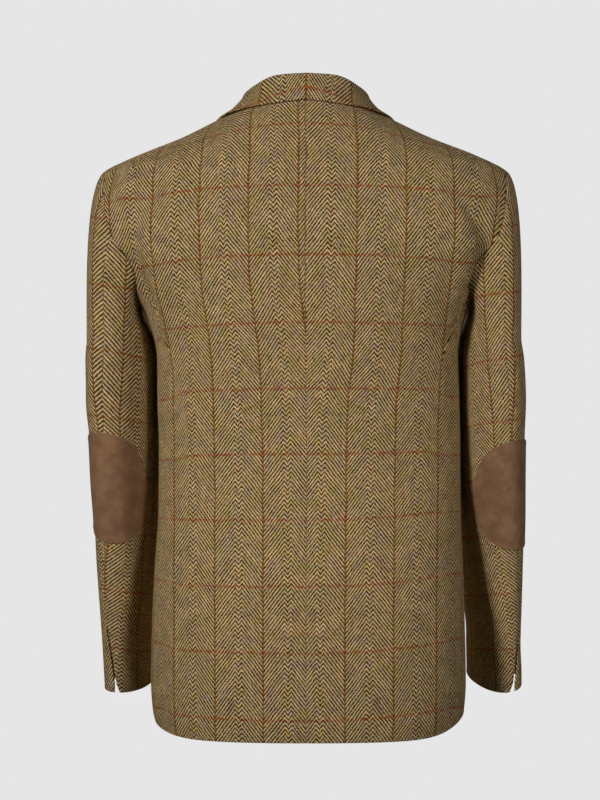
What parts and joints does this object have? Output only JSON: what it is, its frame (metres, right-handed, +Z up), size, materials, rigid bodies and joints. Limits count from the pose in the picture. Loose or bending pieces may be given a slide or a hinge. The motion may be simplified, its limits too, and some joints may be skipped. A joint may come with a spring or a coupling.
{
  "type": "tweed hacking jacket",
  "caption": "Worn, hollow tweed hacking jacket with a fold-over collar, notched lapels, slanted pocket flaps, centre back seam and oval suede elbow patches.",
  "frame": {"origin": "middle of the neck opening, level with the inner ends of the shoulder seams, where the wearer's neck and shoulders hold the jacket", "axes": "+Z up, -Y towards the jacket's front, +X towards the wearer's left"},
  "size_m": [0.5294, 0.2707, 0.7912],
  "materials": {
    "tweed": "matt brown herringbone wool with a thin rust overcheck",
    "suede": "matt napped brown suede",
    "horn": "satin dark brown horn"
  },
  "bodies": {
    "root": {"back_left": "tweed", "side_left": "tweed", "front_left": "tweed", "lapel_left": "tweed", "top_sleeve_left": "tweed", "under_sleeve_left": "tweed", "elbow_patch_left": "suede", "pocket_flap_left": "tweed", "back_right": "tweed", "side_right": "tweed", "front_right": "tweed", "lapel_right": "tweed", "top_sleeve_right": "tweed", "under_sleeve_right": "tweed", "elbow_patch_right": "suede", "pocket_flap_right": "tweed", "collar": "tweed", "front_button_upper": "horn", "front_button_lower": "horn"}
  },
  "joints": []
}
